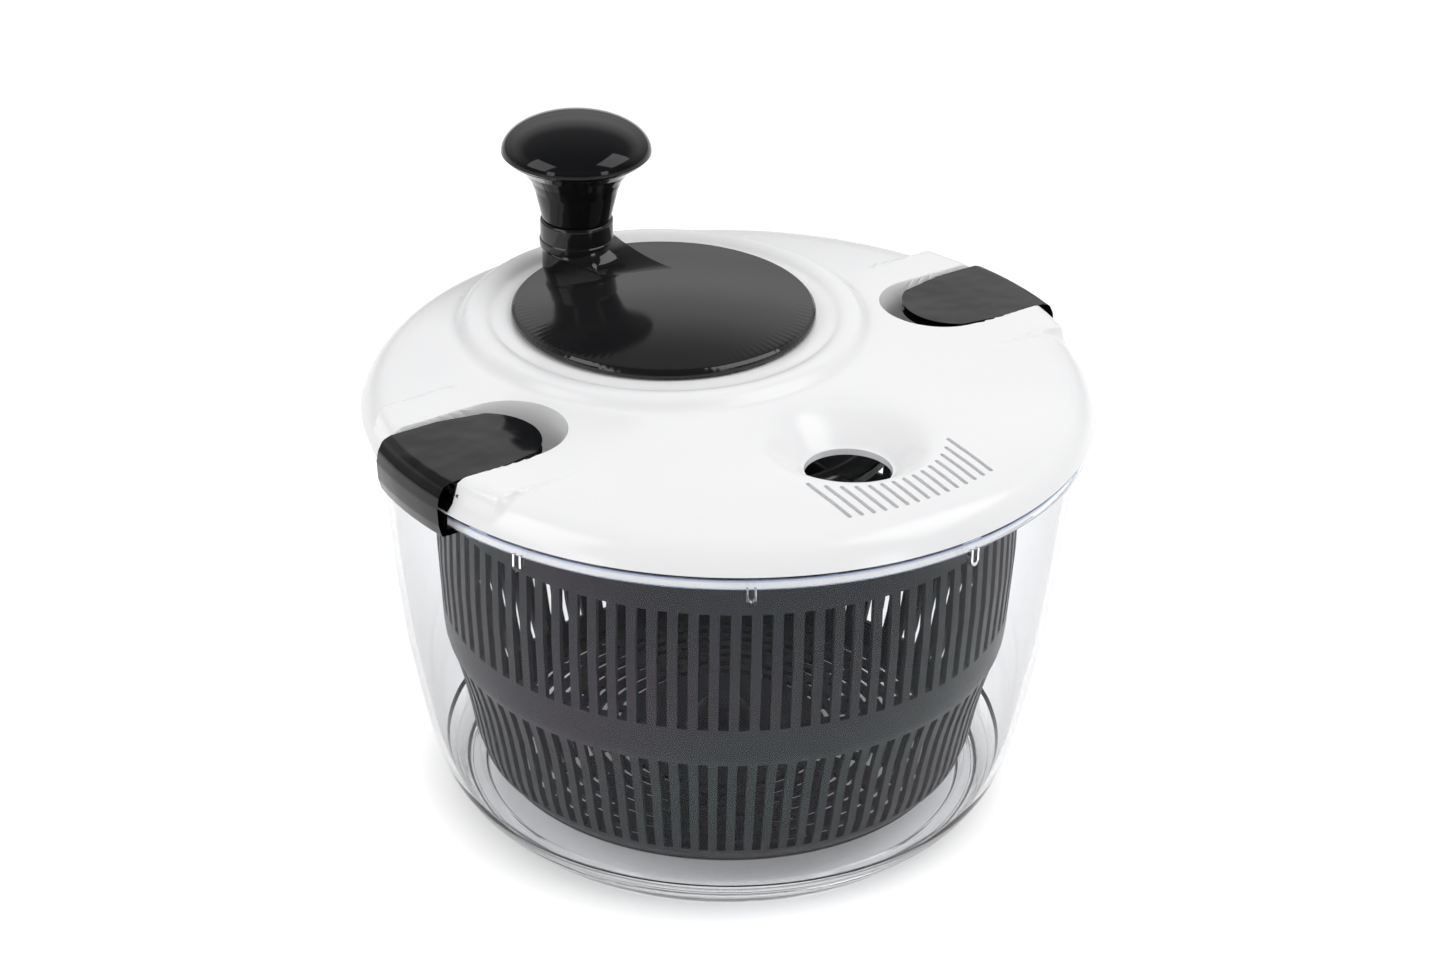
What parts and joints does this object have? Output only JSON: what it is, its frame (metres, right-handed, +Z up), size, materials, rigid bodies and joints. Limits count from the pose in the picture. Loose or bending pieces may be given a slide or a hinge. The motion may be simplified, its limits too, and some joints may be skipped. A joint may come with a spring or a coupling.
{
  "type": "salad spinner",
  "caption": "Crank-driven salad spinner: clear flanged bowl, slotted basket and a white lid with a knobbed crank disc, gear drive, pour spout, vent slots and press latches.",
  "frame": {"origin": "on the bowl's axis, at the surface the foot ring stands on", "axes": "+Z up along the bowl's axis, +X towards the right-hand latch, +Y away from the water spout towards the crank"},
  "size_m": [0.252, 0.2454, 0.2172],
  "materials": {
    "clear_plastic": "clear, polished",
    "grey_plastic": "smooth satin, slightly smoky",
    "white_plastic": "semi-gloss moulded",
    "black_gloss": "high gloss moulded",
    "black_plastic": "moulded, half gloss",
    "gear_plastic": "natural acetal",
    "steel": "bright zinc"
  },
  "bodies": {
    "bowl": {"bowl": "clear_plastic"},
    "lid": {"lid_shell": "white_plastic", "gear_cover": "white_plastic", "cover_screw_1": "steel", "cover_screw_2": "steel", "cover_screw_3": "steel", "cover_screw_4": "steel", "crank_bushing": "gear_plastic", "latch_pin_right": "steel", "latch_pin_left": "steel", "latch_spring_right": "steel", "latch_spring_left": "steel"},
    "crank": {"crank": "black_gloss", "crank_gear": "gear_plastic", "crank_washer": "steel", "crank_screw": "steel"},
    "knob": {"knob_grip": "black_gloss", "knob_cap": "black_gloss", "knob_spindle": "steel"},
    "driver": {"drive_gear": "gear_plastic", "basket_driver": "black_plastic", "driver_washer": "steel", "driver_screw": "steel"},
    "basket": {"basket": "grey_plastic"},
    "latch_right": {"latch_right": "black_gloss"},
    "latch_left": {"latch_left": "black_gloss"}
  },
  "joints": [
    {"name": "lid_lift", "type": "slide", "parent": "bowl", "child": "lid", "axis": [0, 0, 1], "range_m": [0, 0.16]},
    {"name": "crank_spin", "type": "hinge", "parent": "lid", "child": "crank", "pos_m": [0, 0.0392, 0.16], "axis": [0, 0, 1], "continuous": true},
    {"name": "knob_spin", "type": "hinge", "parent": "crank", "child": "knob", "pos_m": [-0.00726, 0.0826, 0.19], "axis": [0, 0, 1], "continuous": true},
    {"name": "driver_spin", "type": "hinge", "parent": "lid", "child": "driver", "pos_m": [0, 0, 0.14], "axis": [0, 0, 1], "continuous": true},
    {"name": "basket_spin", "type": "hinge", "parent": "bowl", "child": "basket", "pos_m": [0, 0, 0.013], "axis": [0, 0, 1], "continuous": true},
    {"name": "latch_right_press", "type": "hinge", "parent": "lid", "child": "latch_right", "pos_m": [0.117, 0, 0.1505], "axis": [0, -1, 0], "range_deg": [0, 18], "stiffness_Nm_per_rad": 0.35, "springref_deg": -20.05},
    {"name": "latch_left_press", "type": "hinge", "parent": "lid", "child": "latch_left", "pos_m": [-0.117, 0, 0.1505], "axis": [0, 1, 0], "range_deg": [0, 18], "stiffness_Nm_per_rad": 0.35, "springref_deg": -20.05}
  ],
  "couplings": [
    {"joint": "driver_spin", "follows": "crank_spin", "ratio": -3.0833},
    {"joint": "basket_spin", "follows": "crank_spin", "ratio": -3.0833}
  ]
}
